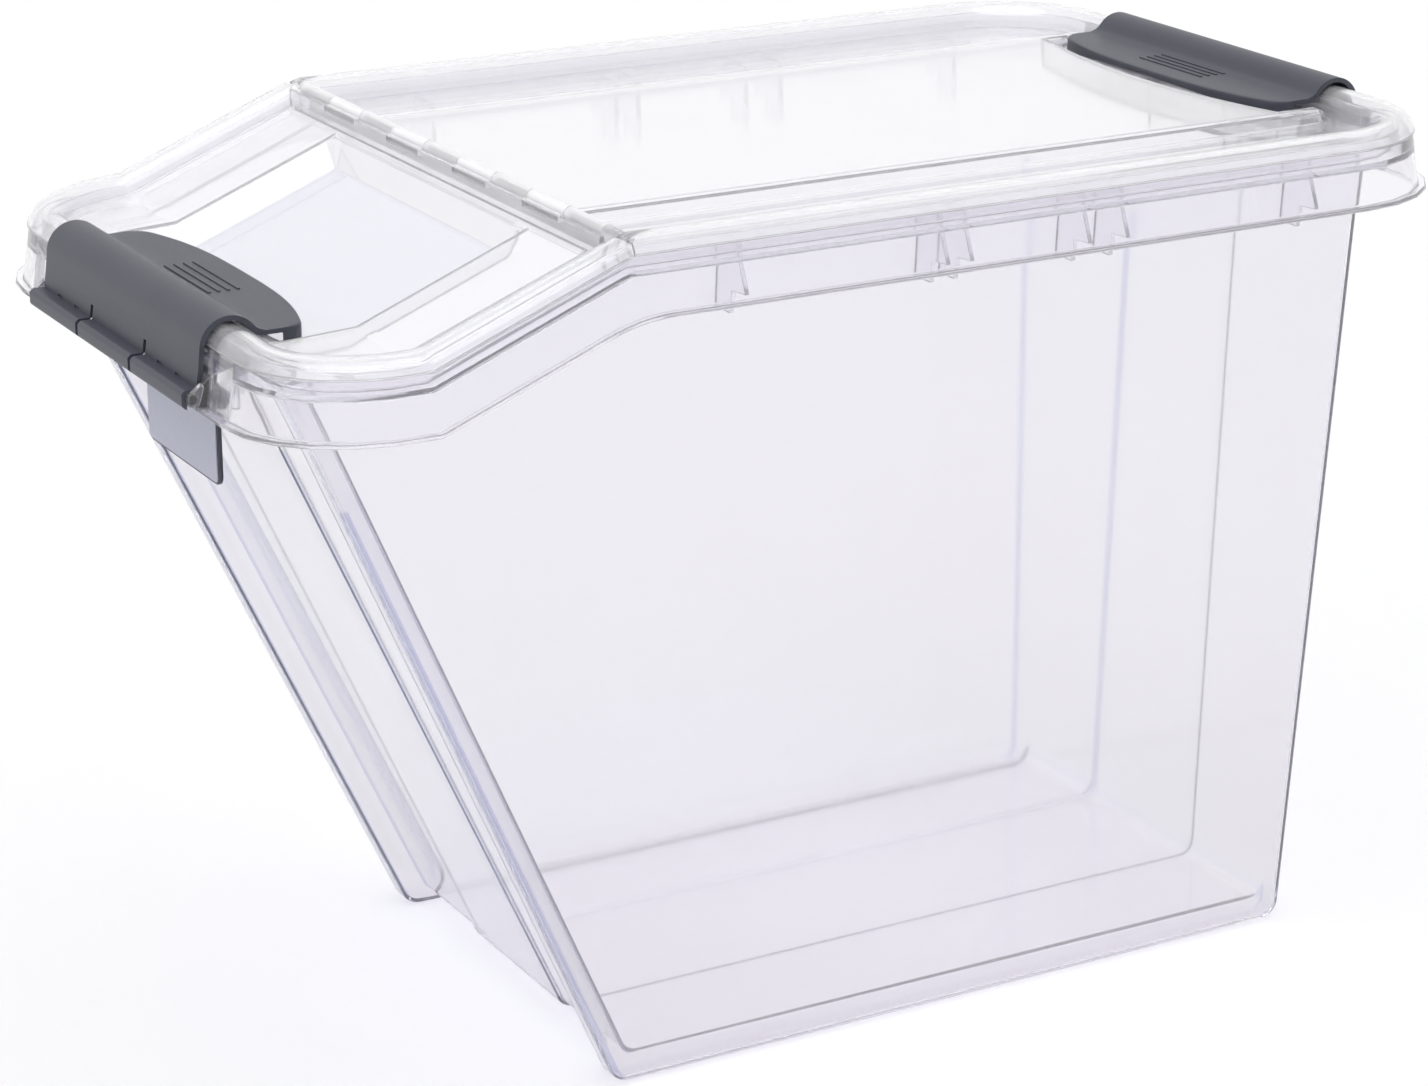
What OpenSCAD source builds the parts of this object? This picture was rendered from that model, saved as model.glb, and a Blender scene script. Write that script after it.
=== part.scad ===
// Slanted storage bin: a clear tub with a sloping front, a lid in two halves that folds, and two snap clips.
// The origin is on the floor under the middle of the bin. +X is one long side, -Y is the slanted front.

/* [Lid edge] */
// Width between the crests of the bead on the two long sides
bead_w = 300; // [290:1:330]
// Length between the crests of the bead at the front and the rear
bead_l = 507; // [500:1:530]
// Height of the bead crest on the flat part of the lid
crest_h = 370; // [350:1:400]
// Length of the flat part, from the rear crest to the fold
flat_l = 379.5; // [374:0.5:384]
// Slant of the flap, from the level
flap_angle = 21.64; // [20:0.02:23]
// Slant of the shelf at the front of the flap, where the clip sits
shelf_angle = 3; // [2:0.5:4]
// Radius of the bead crest at the corners, seen from above
corner_r = 45; // [42:1:56]
// Outer radius of the rounded bead
bead_r = 8.5; // [8:0.1:9]
// Depth of the outer lip of the bead below the crest
lip_drop = 7; // [6:0.5:8]
// Wall thickness of the lid and the flap
lid_t = 2; // [1.8:0.1:2.2]
// Depth of the channel inside the bead, below the crest
channel_drop = 11; // [10.6:0.1:11.4]

/* [Rear lid] */
// Width of the raised stacking plateau
plateau_w = 187; // [170:1:210]
// Height of the plateau above the channel
plateau_h = 5; // [4:0.5:6]
// Distance of the rear edge of the plateau from the rear crest
plateau_in = 15; // [13:0.5:18]
// Width of the finger pocket under the rear clip
pocket_w = 172; // [166:1:184]
// How far the finger pocket reaches in from the rear crest
pocket_reach = 46; // [44:0.5:60]
// Distance of the rear wall of the pocket from the rear crest
pocket_seat = 24; // [23:0.5:25]
// Depth of the pocket floor below the crest
pocket_drop = 20; // [17:0.5:30]

/* [Front flap] */
// Width of the sunk tray
tray_w = 178; // [170:1:200]
// Distance of the tray from the fold
tray_back = 9; // [8:0.5:16]
// Distance of the tray from the front crest, at its upper edge
tray_front = 16; // [15.5:0.5:17]
// Depth of the ledge round the tray below the crest
ledge_drop = 8.2; // [8:0.1:9]
// Depth of the underside of the tray below the crest
tray_drop = 20; // [17:0.5:23]

/* [Fold hinge] */
// Depth of the fold axis below the crest
fold_drop = 2.5; // [2:0.1:3]
// Outer radius of the hinge knuckles
knuckle_r = 3; // [2.8:0.1:3.2]
// Radius of the hinge rod
fold_rod_r = 1.5; // [1.3:0.1:1.7]
// Radial clearance of the hooks on the rod
fold_play = 0.08; // [0.05:0.01:0.1]
// Length of the row of knuckles
fold_l = 276; // [240:1:278]
// Number of knuckles, shared by the lid and the flap
knuckles = 9; // [5:2:13]
// Gap between neighbouring knuckles
knuckle_gap = 0.5; // [0.4:0.1:1]
// Clearance of the knuckles from the fold walls
knuckle_clear = 1; // [0.6:0.1:1.4]
// Clearance of each bead end from the fold
fold_gap = 0.4; // [0.3:0.1:0.6]
// Slant of the bead ends at the fold
notch_angle = 57; // [56:1:62]

/* [Tub] */
// Wall thickness of the tub
wall = 2.2; // [1.8:0.1:2.6]
// Width of the base
base_w = 214; // [204:1:218]
// Distance of the base from the rear crest
base_rear_in = 28; // [26:1:36]
// Distance of the base from the front crest
base_front_in = 157; // [152:1:160]
// Width between the walls at rim height
mouth_w = 251; // [246:1:256]
// Distance of the rear wall from the rear crest, at rim height
mouth_rear_in = 17.5; // [16.5:0.5:18]
// Distance of the slanted wall from the front crest, at rim height
mouth_front_in = 13; // [12.5:0.5:13.5]
// Radius of the upright corners at the base
base_r = 12; // [8:1:16]
// Radius of the upright corners at the rim
mouth_r = 20; // [16:1:26]
// Height of the floor runners
runner_h = 5.5; // [4.5:0.5:8]
// Width of the floor runners
runner_w = 13; // [10:0.5:16]
// Depth of the corner columns in front of the slanted wall
column_d = 12; // [8:0.5:14]
// Width of the proud middle panel
panel_w = 80; // [60:1:100]
// How far the middle panel stands proud
panel_d = 1.5; // [1:0.1:2]

/* [Rim and skirt] */
// Thickness of the rim flange, the skirt and the gussets
rim_t = 2; // [1.6:0.1:2.4]
// Gap between the lid and the rim under it
seat_gap = 0.3; // [0.2:0.1:0.4]
// Height of the locating rib inside the bead
rib_h = 8; // [5:0.5:9]
// Thickness of the locating rib
rib_t = 3; // [2:0.2:4]
// Depth of the skirt below the crest
skirt_drop = 30.5; // [29.5:0.5:33]
// How far the skirt flares outwards from the bead
skirt_flare = 3.5; // [2.5:0.5:4.5]
// Width of the lip along the lower edge of the skirt
skirt_lip = 2; // [1:0.2:2.4]
// Depth of the gussets below the crest, at the wall
gusset_drop = 40; // [37:1:46]
// Distances of the gussets from the rear crest
gussets_in = [60.5, 153.5, 171.5, 226.5, 237.5, 328.5];

/* [Clips] */
// Length of the clip shell
clip_l = 161; // [150:1:164]
// Thickness of the clip
clip_t = 2; // [1.8:0.1:2.4]
// Clearance between the clip and the bead
clip_gap = 1.4; // [1.2:0.1:1.5]
// Distance of the clip rod outside the crest
rod_out = 16.5; // [16:0.1:17]
// Distance of the clip rod below the crest
rod_down = 26; // [25.5:0.1:26.5]
// Radius of the clip rod
rod_r = 2; // [1.8:0.1:2.2]
// Radial clearance of the clip on its rod
rod_play = 0.08; // [0.05:0.01:0.1]
// Outer radius of the hooks on the rod
hook_r = 4; // [3.7:0.1:4.2]
// Mouth of the hooks, as a share of the rod's diameter
hook_mouth = 0.8; // [0.7:0.05:0.9]
// Distance between the two rod ribs
rib_pitch = 56; // [52:1:66]
// Thickness of the rod ribs and the rod ears
ear_t = 3; // [2.4:0.1:3.4]
// Gap between the hooks and the ribs
hook_gap = 0.5; // [0.4:0.1:0.8]
// Depth of the finger tab below the crest
tab_drop = 4; // [3.6:0.1:4.2]
// Thickness of the finger tab
tab_t = 1.8; // [1.5:0.1:2]
// Reach of the tab in from the crest, at its ends
tab_end = 28; // [26:0.5:30]
// Reach of the tab in from the crest, in the middle
tab_mid = 38; // [35:0.5:41]
// Radius of the tab corners
tab_corner_r = 20; // [12:1:24]
// Height of the turned-down lip at the ends of the tab
tab_lip_h = 7; // [5:0.5:7.5]
// Height of that lip in the middle of the tab
tab_lip_mid = 2.4; // [2.2:0.1:3]
// Number of grip ribs on the tab
grips = 4; // [1:1:5]
// Distance between grip ribs
grip_pitch = 4; // [2.5:0.5:4]
// Length of the grip ribs
grip_l = 46; // [20:1:80]
// Width of a grip rib
grip_w = 1.2; // [0.8:0.1:1.6]
// Height of a grip rib
grip_h = 0.5; // [0.3:0.1:0.8]

/* [Label] */
// Width of the label plate
label_w = 73; // [60:1:90]
// Thickness of the label plate
label_t = 1.8; // [1.4:0.1:2.2]
// Distance of the plate behind the front crest
label_in = 12; // [11.5:0.1:12.5]
// Height of the label plate, without its hooks
label_h = 42; // [30:1:60]
// Side of the square bar that the plate hangs on
bar_side = 3; // [2.4:0.1:3.4]
// Depth of that bar below the front crest
bar_drop = 22; // [21.5:0.1:23]
// Width of each plate hook
hook_w = 12; // [8:0.5:16]
// Distance between the two plate hooks
hook_pitch = 26; // [18:1:30]
// Clearance of the plate and its hooks from the tub
label_gap = 0.4; // [0.3:0.1:0.6]
// Thickness of the label card
card_t = 0.6; // [0.4:0.1:1]
// Margin of the card inside the edge of the plate
card_margin = 1.5; // [1:0.5:5]

/* [Hidden] */
$fn = 48;
far = 1000;
// The straight runs of the flap's bead are this much slimmer than its front, so that the two join cleanly.
trace = 0.02;
// Thickness of the slabs that a hull is drawn between.
slab = 0.1;
half_w = bead_w / 2;
rear_y = bead_l / 2;
front_y = -bead_l / 2;
fold_y = rear_y - flat_l;
slope = tan(flap_angle);
shelf = tan(shelf_angle);
// The flap bends to its shelf just behind the front corners.
bend_y = front_y + corner_r + lid_t;
bend_fall = slope * (fold_y - bend_y);
front_crest = crest_h - bend_fall - shelf * (bend_y - front_y);
fold_z = crest_h - fold_drop;
// Depths below the crest: the underside of the lid, and the top and underside of the rim under it.
lid_drop = channel_drop + lid_t;
rim_drop = lid_drop + seat_gap;
under_drop = rim_drop + rim_t;
// The walls and the ribs end at mid-thickness of the flange.
rim_root = rim_drop + rim_t / 2;
// The ribs end inside the skirt, which stands up to just under the outer lip of the lid.
rim_out = bead_r - lid_t - seat_gap;
skirt_top = lip_drop + seat_gap;
skirt_foot = bead_r + skirt_flare;
// The walls run up to rim height.
rim_h = crest_h - rim_drop;
base_front = front_y + base_front_in;
// Forward slant of the front wall, per unit of height.
lean = (base_front_in - mouth_front_in) / (front_crest - rim_drop);
base_rear = rear_y - base_rear_in;
mouth_rear = rear_y - mouth_rear_in;
// Inner end of the rim, the gussets and the ribs, well inside the wall that they join.
root_in = corner_r - mouth_r / 2;
// Distance of the fold walls from the fold axis.
fold_wall = knuckle_r + knuckle_clear;
knuckle_pitch = fold_l / knuckles;
// The shelf's slant swells its bead, and the clip clears that bead at rest and as it swings round its rod.
bead_swell = bead_r * (sqrt(1 + pow(shelf / 2, 2)) + shelf / 2 - 1);
clip_room = bead_swell + clip_gap;
swing_r = norm([rod_out, rod_down - bead_r]) + bead_r + clip_room;
bead_turn = 180 - atan2(rod_down - bead_r, rod_out);
tab_turn = 180 - asin((rod_down - tab_drop - tab_t / 2) / (swing_r + clip_t / 2));
tab_root = rod_out - sqrt(pow(swing_r + clip_t / 2, 2) - pow(rod_down - tab_drop - tab_t / 2, 2));
tab_r = (pow(clip_l / 2, 2) + pow(tab_mid - tab_end, 2)) / (2 * (tab_mid - tab_end));
ear_x = clip_l / 2 + 2 * hook_gap + ear_t;
// Slope of the lower edge of a rod rib, and the upper edge of the label plate that clears it.
rib_slope = (gusset_drop - rod_down - rod_r) / (root_in + rod_out - rod_r);
label_back = label_in + label_t / 2;
label_drop = rod_down + rod_r + rib_slope * (label_back + rod_out - rod_r) + 2 * label_gap;
clear_grey = [0.93, 0.93, 0.97];
clip_grey = [0.3, 0.31, 0.34];

// Tapered box between a lower and an upper rectangle, each given as [x0, x1, y0, y1].
module tapered(low, z0, high, z1) {
  polyhedron(
    points = [
      [low[0], low[2], z0], [low[1], low[2], z0], [low[1], low[3], z0], [low[0], low[3], z0],
      [high[0], high[2], z1], [high[1], high[2], z1], [high[1], high[3], z1], [high[0], high[3], z1]
    ],
    faces = [[0, 1, 2, 3], [4, 7, 6, 5], [0, 4, 5, 1], [1, 5, 6, 2], [2, 6, 7, 3], [3, 7, 4, 0]]
  );
}

// Rectangle with round corners, from y0 to y1 and centred on x = 0.
module rounded(half, y0, y1, r) {
  translate([-half + r, y0]) square([2 * (half - r), y1 - y0]);
  translate([-half, y0 + r]) square([2 * half, y1 - y0 - 2 * r]);
  for (x = [-half + r, half - r], y = [y0 + r, y1 - r]) translate([x, y]) circle(r);
}

// Sweeps an outline, outwards from the crest and up from it, round the whole crest line.
module round_the_crest() {
  for (side = [0, 1]) mirror([side, 0, 0]) {
    translate([half_w, rear_y - corner_r, crest_h])
      rotate([90, 0, 0]) linear_extrude(bead_l - 2 * corner_r) children();
    translate([half_w - corner_r, rear_y - corner_r, crest_h])
      rotate_extrude(angle = 90) translate([corner_r, 0]) children();
    translate([half_w - corner_r, front_y + corner_r, crest_h])
      rotate([0, 0, -90]) rotate_extrude(angle = 90) translate([corner_r, 0]) children();
  }
  for (turn = [0, 180]) rotate([0, 0, turn])
    translate([corner_r - half_w, rear_y, crest_h])
      rotate([90, 0, 90]) linear_extrude(2 * (half_w - corner_r)) children();
}

// Everything behind a line across the bin, and everything in front of it.
module behind(y) { translate([-far, y, -far]) cube(2 * far); }
module before(y) { translate([-far, y - 2 * far, -far]) cube(2 * far); }

// Shears a flat shape down along the slope of the flap, and along its shelf in front of the bend.
module sloped() {
  tilted(slope, fold_y, 0) intersection() {
    children();
    behind(bend_y);
  }
  tilted(shelf, bend_y, bend_fall) intersection() {
    children();
    before(bend_y);
  }
}

// Tips what is drawn level about a line across the bin, and lowers it.
module tilted(rise, y, fall) {
  multmatrix([[1, 0, 0, 0], [0, 1, 0, 0], [0, rise, 1, -rise * y - fall], [0, 0, 0, 1]]) children();
}

// Height of the crest in front of the fold.
function flap_crest(y) = y > bend_y ? crest_h - slope * (fold_y - y) : front_crest + shelf * (y - front_y);

// Extrudes an outline in y and z across the bin.
module across(width) {
  translate([-width / 2, 0, 0]) rotate([90, 0, 90]) linear_extrude(width) children();
}

// Puts a clip, or its seat, at the rear crest or at the lower front crest.
module at_rear() { translate([0, rear_y, crest_h]) children(); }
module at_front() { translate([0, front_y, front_crest]) rotate([0, 0, 180]) children(); }

// Outer faces of the front wall, the rear wall and the side walls at a height.
function front_at(z) = base_front - lean * z;
function rear_at(z) = base_rear + (mouth_rear - base_rear) * z / rim_h;
function side_at(z) = base_w / 2 + (mouth_w - base_w) / 2 * z / rim_h;

// Outside of the tub: walls, corner columns, runners and proud panels. An inset draws its inside.
module tub_body(inset) {
  low = runner_h + inset;
  top = rim_h + inset;
  sunk = low - panel_d;
  panel = panel_w / 2 - inset;
  hull() {
    translate([0, 0, low])
      linear_extrude(slab)
        rounded(side_at(low) - inset, front_at(low) + inset, rear_at(low) - inset, base_r);
    translate([0, 0, top])
      linear_extrude(slab)
        rounded(side_at(top) - inset, front_at(top) + inset, rear_at(top) - inset, mouth_r);
  }
  for (side = [0, 1]) mirror([side, 0, 0]) {
    column = [-runner_w + inset, -inset];
    tapered(
      [side_at(0) + column[0], side_at(0) + column[1], front_at(inset) - column_d + inset, front_at(-base_r)],
      inset,
      [side_at(top) + column[0], side_at(top) + column[1], front_at(top) - column_d + inset, front_at(top) + base_r],
      top
    );
    translate([0, 0, inset]) linear_extrude(runner_h + wall) intersection() {
      rounded(side_at(0) - inset, front_at(0), base_rear - inset, base_r);
      translate([side_at(0) + column[0], front_at(0)]) square([runner_w, far]);
    }
  }
  translate([-panel, front_at(0), sunk]) cube([2 * panel, base_rear - inset - front_at(0), base_r]);
  tapered([-panel, panel, front_at(sunk) - panel_d + inset, front_at(sunk) + base_r], sunk,
    [-panel, panel, front_at(top) - panel_d + inset, front_at(top) + base_r], top);
  tapered([-panel, panel, rear_at(sunk) - base_r, rear_at(sunk) + panel_d - inset], sunk,
    [-panel, panel, rear_at(top) - base_r, rear_at(top) + panel_d - inset], top);
}

// Slab across the bin between two depths under the crest, flat behind the fold and bent twice in front of it.
module bent_slab(deep, high) {
  front_end = 2 * front_y;
  across(2 * far)
    polygon([
      [far, crest_h - deep], [far, crest_h - high], [fold_y, crest_h - high], [bend_y, flap_crest(bend_y) - high],
      [front_end, flap_crest(front_end) - high], [front_end, flap_crest(front_end) - deep],
      [bend_y, flap_crest(bend_y) - deep], [fold_y, crest_h - deep]
    ]);
}

// Outline of the crest line from above, moved outwards.
module crest_plan(out) { rounded(half_w + out, front_y - out, rear_y + out, corner_r + out); }

// Flange under the lid, the wall at its edge under the lip, and the rib on it that stands inside the bead.
module rim() {
  difference() {
    intersection() {
      bent_slab(under_drop, skirt_top);
      linear_extrude(far) crest_plan(bead_r);
    }
    intersection() {
      bent_slab(rim_drop, 0);
      linear_extrude(far) crest_plan(bead_r - rim_t);
    }
  }
  intersection() {
    bent_slab(rim_root, rim_drop - rib_h);
    linear_extrude(far) difference() {
      crest_plan(rib_t / 2);
      crest_plan(-rib_t / 2);
    }
  }
}

// Section of the flared skirt and its lip, rooted in the flange.
module skirt_section() {
  polygon([
    [bead_r - 3 * rim_t / 2, -rim_root], [bead_r - rim_t / 2, -rim_root], [skirt_foot, -skirt_drop + rim_t],
    [skirt_foot + skirt_lip, -skirt_drop + rim_t], [skirt_foot + skirt_lip, -skirt_drop],
    [skirt_foot - rim_t, -skirt_drop]
  ]);
}

// Outline of a gusset between the wall and the skirt.
module gusset_section() {
  polygon([
    [-root_in, -rim_root], [bead_r - rim_t, -rim_root],
    [skirt_foot - rim_t / 2, -skirt_drop + rim_t], [rim_out, -skirt_drop],
    [-root_in, -gusset_drop]
  ]);
}

// Rod for one clip, with the ribs and ears of the tub that carry it. The tilt is the slope of the flange there.
module clip_seat(tilt) {
  translate([-ear_x, rod_out, -rod_down]) rotate([0, 90, 0]) cylinder(r = rod_r, h = 2 * ear_x);
  for (x = [-rib_pitch / 2, rib_pitch / 2])
    translate([x, 0, 0]) across(ear_t - 2 * hook_gap)
      polygon([
        [-root_in, tilt * root_in - rim_root], [rim_out - rim_t, -rim_root - tilt * (rim_out - rim_t)],
        [rod_out - rod_r / 2, -rod_down + rod_r], [rod_out + rod_r / 2, -rod_down - rod_r / 2],
        [rod_out - rod_r, -rod_down - rod_r], [-root_in, -gusset_drop]
      ]);
  for (side = [-1, 1])
    translate([side * (ear_x - ear_t / 2), 0, 0]) across(ear_t)
      polygon([
        [-rim_t, tilt * rim_t - rim_root], [rim_out - seat_gap, -rim_root - tilt * rim_out],
        [rod_out + rod_r, -rod_down + rod_r], [rod_out + rod_r, -rod_down - rod_r],
        [rod_out - rod_r, -skirt_drop + rim_t / 2], [skirt_foot - rim_t, -skirt_drop], [-rim_t, -skirt_drop]
      ]);
}

// Room for a clip in the skirt.
module clip_notch() {
  width = 2 * ear_x - rim_t;
  translate([-width / 2, -rim_t, -far]) cube([width, far, 2 * far]);
}

// Bar between the two front ribs that the label plate hangs on, just outside the plate.
module label_bar() {
  translate([-rib_pitch / 2, label_gap + label_t - label_back, -bar_drop - bar_side])
    cube([rib_pitch, bar_side, bar_side]);
}

module tub() {
  color(clear_grey, 0.4) difference() {
    union() {
      difference() {
        tub_body(0);
        bent_slab(rim_root, -far);
      }
      rim();
      difference() {
        union() {
          intersection() {
            round_the_crest() skirt_section();
            behind(fold_y);
          }
          sloped() intersection() {
            round_the_crest() skirt_section();
            before(fold_y);
          }
        }
        at_rear() clip_notch();
        at_front() clip_notch();
      }
      for (side = [0, 1], in = gussets_in)
        mirror([side, 0, 0]) translate([half_w, rear_y - in + rim_t / 2, crest_h])
          rotate([90, 0, 0]) linear_extrude(rim_t) gusset_section();
      at_rear() clip_seat(0);
      at_front() {
        clip_seat(shelf);
        label_bar();
      }
    }
    tub_body(wall);
  }
}

// Section of the lid bead: a rounded ridge with an outer lip and an inner leg. It can be drawn a trace slimmer.
module bead_section(slim = 0) {
  r = bead_r - slim;
  inner_r = bead_r - lid_t + slim;
  difference() {
    union() {
      translate([0, -bead_r]) circle(r);
      translate([-r, -lid_drop]) square([2 * r, lid_drop - bead_r]);
    }
    translate([-far, slim - lid_drop - far]) square([2 * far, far]);
    translate([0, slim - lip_drop - far]) square(far);
    translate([0, -bead_r]) circle(inner_r);
    translate([-inner_r, -far]) square([2 * inner_r, far - bead_r]);
  }
}

// Cuts the bead end at the fold: upright below the fold axis and slanted away above it.
module fold_cut(way) {
  open = tan(notch_angle) * far;
  across(2 * far)
    polygon([
      [fold_y - way * far, -far], [fold_y + way * fold_gap, -far], [fold_y + way * fold_gap, fold_z],
      [fold_y + way * (fold_gap + open), fold_z + far], [fold_y - way * far, fold_z + far]
    ]);
}

// One knuckle on the fold axis, with its arm to the fold wall on one side.
module knuckle(way) {
  length = knuckle_pitch - knuckle_gap;
  arm = fold_wall + lid_t / 2;
  across(length) {
    translate([fold_y, fold_z]) circle(knuckle_r);
    translate([fold_y + min(0, way * arm), fold_z - knuckle_r]) square([arm, knuckle_r]);
  }
}

// Every second place along the fold, starting at the given place.
function knuckle_places(first) =
  [for (i = [first:2:knuckles - 1]) (i + 0.5) * knuckle_pitch - fold_l / 2];

// Outline of the plate inside the bead, which reaches halfway into its inner leg.
module channel_plan() { crest_plan(lid_t / 2 - bead_r); }

// Outline of the plateau, and of the D-shaped finger pocket that bites into it.
module plateau_plan(inset) {
  y0 = fold_y + fold_wall + inset;
  y1 = rear_y - plateau_in - inset;
  translate([-plateau_w / 2 + inset, y0]) square([plateau_w - 2 * inset, y1 - y0]);
}

module pocket_plan(grow, rear) {
  intersection() {
    translate([0, rear_y - pocket_reach + tab_r]) circle(tab_r + grow, $fn = 180);
    translate([-pocket_w / 2 - grow, -far]) square([pocket_w + 2 * grow, far + rear]);
  }
}

module rear_lid() {
  pocket_rear = rear_y - pocket_seat;
  low = crest_h - lid_drop;
  top = crest_h - channel_drop + plateau_h;
  floor_z = crest_h - pocket_drop;
  color(clear_grey, 0.4) {
    difference() {
      intersection() {
        round_the_crest() bead_section();
        behind(fold_y);
      }
      fold_cut(1);
    }
    difference() {
      union() {
        translate([0, 0, low]) linear_extrude(lid_t) intersection() {
          channel_plan();
          translate([-far, fold_y + fold_wall]) square(2 * far);
        }
        translate([0, 0, low]) linear_extrude(top - low) difference() {
          plateau_plan(0);
          pocket_plan(0, far);
        }
        translate([0, 0, floor_z - lid_t])
          linear_extrude(top - floor_z + lid_t) pocket_plan(lid_t, pocket_rear + lid_t);
      }
      translate([0, 0, low - far]) linear_extrude(far + top - low - lid_t) difference() {
        plateau_plan(lid_t);
        pocket_plan(lid_t, far);
      }
      translate([0, 0, floor_z]) linear_extrude(far) pocket_plan(0, pocket_rear);
      translate([-pocket_w / 2, pocket_rear - lid_t, low + lid_t]) cube([pocket_w, far, far]);
    }
    translate([bead_r - lid_t / 2 - half_w, fold_y + fold_wall, low])
      cube([2 * half_w - 2 * bead_r + lid_t, lid_t, fold_z - low]);
    translate([-fold_l / 2, fold_y, fold_z]) rotate([0, 90, 0]) cylinder(r = fold_rod_r, h = fold_l);
    for (x = knuckle_places(0)) translate([x, 0, 0]) knuckle(1);
  }
}

// Outline of the sunk tray of the flap in y and z. The outside ends within the ledge, and the inside passes it.
module tray_outline(inset, rise) {
  top = rise > 0 ? ledge_drop - lid_t / 2 : ledge_drop + lid_t / 2;
  y_rear = fold_y - tray_back - inset;
  y_front = front_y + tray_front + inset;
  deep = tray_drop - inset;
  y_foot = y_front + lean * (deep - ledge_drop);
  y_lip = y_front + lean * (top - ledge_drop);
  high = flap_crest(y_rear) + rise;
  polygon([
    [y_rear, flap_crest(y_rear) - deep], [bend_y, flap_crest(bend_y) - deep], [y_foot, flap_crest(y_foot) - deep],
    [y_lip, flap_crest(y_lip) - top],
    rise > 0 ? [y_lip, high] : [bend_y, flap_crest(bend_y) - top], [y_rear, rise > 0 ? high : high - top]
  ]);
}

module front_flap() {
  low = crest_h - lid_drop;
  color(clear_grey, 0.4) {
    difference() {
      union() {
        for (side = [0, 1]) mirror([side, 0, 0]) tilted(slope, fold_y, 0)
          translate([half_w, fold_y, crest_h]) rotate([90, 0, 0]) linear_extrude(fold_y - bend_y) bead_section(trace);
        tilted(shelf, bend_y, bend_fall) intersection() {
          round_the_crest() bead_section();
          before(bend_y);
        }
      }
      fold_cut(-1);
    }
    difference() {
      union() {
        sloped() translate([0, 0, crest_h - ledge_drop - lid_t]) linear_extrude(lid_t) intersection() {
          channel_plan();
          translate([-far, fold_y - fold_wall - far]) square([2 * far, far]);
        }
        across(tray_w + 2 * lid_t) tray_outline(0, 0);
      }
      across(tray_w) tray_outline(lid_t, lid_drop);
    }
    translate([bead_r - lid_t / 2 - half_w, fold_y - fold_wall - lid_t, low - slope * fold_wall])
      cube([2 * half_w - 2 * bead_r + lid_t, lid_t, fold_z - low + slope * fold_wall]);
    difference() {
      for (x = knuckle_places(1)) translate([x, 0, 0]) knuckle(-1);
      translate([-fold_l / 2, fold_y, fold_z])
        rotate([0, 90, 0]) cylinder(r = fold_rod_r + fold_play, h = fold_l);
      translate([-fold_l / 2, fold_y - fold_rod_r / 2, fold_z - far]) cube([fold_l, fold_rod_r, far]);
    }
  }
}

// Sector of a circle round the clip rod, between two turns from outwards.
module rod_sector(r, from, to) {
  intersection() {
    translate([rod_out, -rod_down]) circle(r, $fn = 120);
    translate([rod_out, -rod_down])
      polygon([[0, 0], far * [cos(from), sin(from)], far * [cos(to), sin(to)]]);
  }
}

// Section of the clip: an arch over the bead, and a leg down to the hook.
module clip_section() {
  inner = bead_r + clip_room;
  difference() {
    union() {
      intersection() {
        translate([0, -bead_r]) circle(inner + clip_t, $fn = 96);
        translate([-far, -bead_r]) square(2 * far);
      }
      rod_sector(swing_r + clip_t, bead_turn, tab_turn);
    }
    translate([0, -bead_r]) circle(inner, $fn = 96);
    rod_sector(swing_r, bead_turn, 180);
  }
  polygon([
    [inner, -bead_r], [inner + clip_t, -bead_r], [rod_out + clip_t, -rod_down + rod_r], [rod_out, -rod_down],
    [rod_out - clip_t / 2, -rod_down + hook_r]
  ]);
}

// Outline of the finger tab from above, with round ends.
module tab_plan(inset) {
  intersection() {
    translate([0, tab_r - tab_mid]) circle(tab_r - inset, $fn = 180);
    rounded(clip_l / 2 - inset, inset - tab_mid, 2 * tab_corner_r, tab_corner_r - inset);
    translate([-far, -far]) square([2 * far, far + tab_root]);
  }
}

// Lip turned down along the edge of the tab, low at the ends and arched up in the middle.
module tab_lip() {
  rise = tab_lip_h - tab_lip_mid;
  arch_r = (pow(clip_l / 2, 2) + pow(rise, 2)) / (2 * rise);
  difference() {
    translate([0, 0, -tab_drop - tab_lip_h]) linear_extrude(tab_lip_h) difference() {
      tab_plan(0);
      tab_plan(tab_t);
      translate([-far, tab_t - tab_end]) square(2 * far);
    }
    translate([0, 0, -tab_drop - tab_lip_mid - arch_r])
      rotate([90, 0, 0]) cylinder(r = arch_r, h = 2 * far, center = true, $fn = 180);
  }
}

module clip() {
  bar_l = 2 * (ear_x - ear_t - hook_gap);
  grip_y = (tab_root - tab_end) / 2;
  color(clip_grey) difference() {
    union() {
      across(clip_l) clip_section();
      across(bar_l) translate([rod_out, -rod_down]) circle(hook_r);
      translate([0, 0, -tab_drop - tab_t]) linear_extrude(tab_t) tab_plan(0);
      tab_lip();
      for (i = [0:grips - 1])
        translate([-grip_l / 2, grip_y + (i - grips / 2) * grip_pitch, -tab_drop - tab_t / 2])
          cube([grip_l, grip_w, tab_t / 2 + grip_h]);
    }
    across(bar_l + clip_t) translate([rod_out, -rod_down]) {
      circle(rod_r + rod_play);
      translate([-hook_mouth * rod_r, -far]) square([2 * hook_mouth * rod_r, far]);
    }
    for (x = [-rib_pitch / 2, rib_pitch / 2])
      translate([x - ear_t / 2, 0, -rod_down - far]) cube([ear_t, far, far + 2 * hook_r]);
  }
}

module front_clip() { at_front() clip(); }
module rear_clip() { at_rear() clip(); }

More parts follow.
